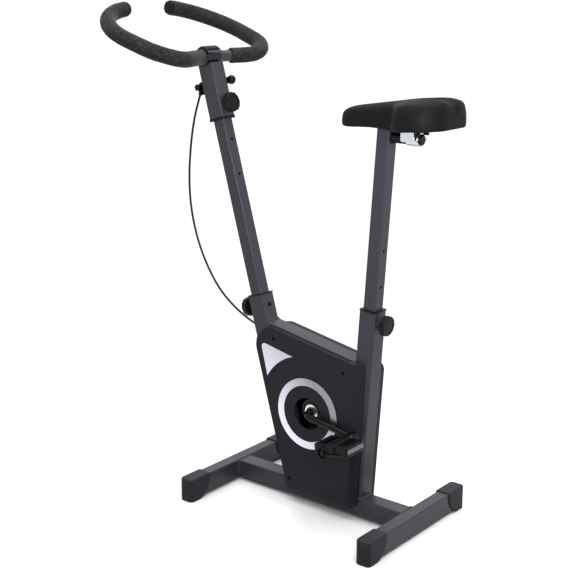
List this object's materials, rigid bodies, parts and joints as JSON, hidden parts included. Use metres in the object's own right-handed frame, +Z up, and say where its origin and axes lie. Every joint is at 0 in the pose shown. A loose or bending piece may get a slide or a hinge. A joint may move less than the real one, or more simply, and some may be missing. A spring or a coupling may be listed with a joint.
{
  "type": "exercise bike",
  "caption": "Upright exercise bike: tube frame on wide stabilisers, cased belt drive with flywheel, pedals, height-adjustable saddle, looped handlebar and a cable tension lever.",
  "frame": {"origin": "on the floor under the middle of the bike's length and width", "axes": "+X forward, +Y to the rider's left, +Z up"},
  "size_m": [0.8246, 0.4061, 1.0784],
  "materials": {
    "frame_paint": "semi-gloss dark grey powder coat",
    "cap_plastic": "matt dark grey moulding",
    "black_plastic": "matt black moulding",
    "cover_plastic": "satin charcoal moulding",
    "silver_trim": "brushed silver",
    "zinc_steel": "bright zinc plate",
    "bright_tube": "dark plated steel tube",
    "black_steel": "gloss black enamel",
    "bearing_steel": "ground steel",
    "flywheel_iron": "turned cast iron",
    "rubber": "matt black rubber",
    "strap_web": "woven black web",
    "grip_foam": "fine speckled foam",
    "saddle_cover": "soft black vinyl",
    "reflector": "pale grey prism plastic",
    "cable_jacket": "smooth black jacket"
  },
  "bodies": {
    "frame": {"base_beam": "frame_paint", "front_stabilizer": "frame_paint", "rear_stabilizer": "frame_paint", "front_foot_caps": "cap_plastic", "rear_foot_caps": "cap_plastic", "front_socket_tube": "frame_paint", "seat_socket_tube": "frame_paint", "top_link_tube": "frame_paint", "bottom_bracket_strut": "frame_paint", "bottom_bracket_shell": "frame_paint", "flywheel_hub_shell": "frame_paint", "socket_bushes": "black_plastic", "front_post": "frame_paint", "left_cover": "cover_plastic", "right_cover": "cover_plastic", "cover_screws": "black_steel", "trim_rings": "silver_trim", "badges": "silver_trim", "crank_bearings": "black_steel", "flywheel_bearings": "bearing_steel", "cable_grommet": "rubber", "tension_cable": "cable_jacket", "brake_strap": "strap_web", "brake_spring": "bearing_steel", "drive_belt": "rubber"},
    "crank_set": {"crank": "black_steel", "crank_cones": "zinc_steel", "crank_locknut": "black_steel", "drive_pulley": "black_plastic", "pedal_spindles": "bearing_steel"},
    "left_pedal": {"left_pedal_body": "black_plastic", "left_pedal_reflectors": "reflector"},
    "right_pedal": {"right_pedal_body": "black_plastic", "right_pedal_reflectors": "reflector"},
    "flywheel_set": {"flywheel_axle": "bearing_steel", "flywheel": "flywheel_iron", "flywheel_pulley": "black_plastic", "flywheel_nuts": "zinc_steel"},
    "stem": {"stem_tube": "frame_paint", "stem_bush": "black_plastic", "handlebar_clamp": "black_plastic", "handlebar_clamp_bolts": "black_steel", "lever_bracket": "black_steel", "lever_pivot_bolt": "black_steel"},
    "handlebar": {"handlebar_tube": "bright_tube", "left_grip": "grip_foam", "right_grip": "grip_foam", "bar_end_plugs": "black_plastic"},
    "lever": {"tension_lever": "black_steel", "lever_ball": "black_plastic"},
    "seat_mast": {"seat_post": "frame_paint", "seat_arm": "black_steel"},
    "seat_clamp": {"saddle_clamp": "zinc_steel", "saddle_clamp_bolt": "zinc_steel"},
    "saddle": {"saddle_bracket": "black_steel", "saddle_pan": "black_plastic", "saddle_cushion": "saddle_cover"},
    "seat_lock": {"seat_knob": "black_plastic"},
    "stem_lock": {"stem_knob": "black_plastic"},
    "post_lock": {"front_knob": "black_plastic"}
  },
  "joints": [
    {"name": "crank_spin", "type": "hinge", "parent": "frame", "child": "crank_set", "pos_m": [-0.0943, 0, 0.2197], "axis": [0, 1, 0], "continuous": true},
    {"name": "flywheel_spin", "type": "hinge", "parent": "frame", "child": "flywheel_set", "pos_m": [-0.0943, 0, 0.112], "axis": [0, 1, 0], "continuous": true},
    {"name": "left_pedal_spin", "type": "hinge", "parent": "crank_set", "child": "left_pedal", "pos_m": [-0.22204, 0, 0.20175], "axis": [0, 1, 0], "continuous": true},
    {"name": "right_pedal_spin", "type": "hinge", "parent": "crank_set", "child": "right_pedal", "pos_m": [0.03345, 0, 0.23765], "axis": [0, 1, 0], "continuous": true},
    {"name": "stem_slide", "type": "slide", "parent": "frame", "child": "stem", "axis": [0.2693, 0, 0.9631], "range_m": [-0.0773, 0], "deforming": ["tension_cable"]},
    {"name": "handlebar_tilt", "type": "hinge", "parent": "stem", "child": "handlebar", "pos_m": [0.2115, 0, 0.9619], "axis": [0, 1, 0], "range_deg": [-20, 20]},
    {"name": "tension_lever_turn", "type": "hinge", "parent": "stem", "child": "lever", "pos_m": [0.24227, 0, 0.89421], "axis": [0, 1, 0], "range_deg": [-30, 20]},
    {"name": "seat_post_slide", "type": "slide", "parent": "frame", "child": "seat_mast", "axis": [-0.0691, 0, 0.9976], "range_m": [-0.1546, 0.0773]},
    {"name": "saddle_slide", "type": "slide", "parent": "seat_mast", "child": "seat_clamp", "axis": [1, 0, 0], "range_m": [-0.012, 0.012]},
    {"name": "saddle_tilt", "type": "hinge", "parent": "seat_clamp", "child": "saddle", "pos_m": [-0.3193, 0, 0.849], "axis": [0, 1, 0], "range_deg": [-10, 10]},
    {"name": "seat_knob_turn", "type": "hinge", "parent": "frame", "child": "seat_lock", "pos_m": [-0.25146, 0, 0.44168], "axis": [-0.9976, 0, -0.0691], "continuous": true},
    {"name": "stem_knob_turn", "type": "hinge", "parent": "stem", "child": "stem_lock", "pos_m": [0.16331, 0, 0.86436], "axis": [-0.9631, 0, 0.2693], "continuous": true},
    {"name": "front_knob_turn", "type": "hinge", "parent": "frame", "child": "post_lock", "pos_m": [0.08134, 0, 0.42262], "axis": [0.9631, 0, -0.2693], "continuous": true}
  ],
  "couplings": [
    {"joint": "flywheel_spin", "follows": "crank_spin", "ratio": 3.1818}
  ]
}
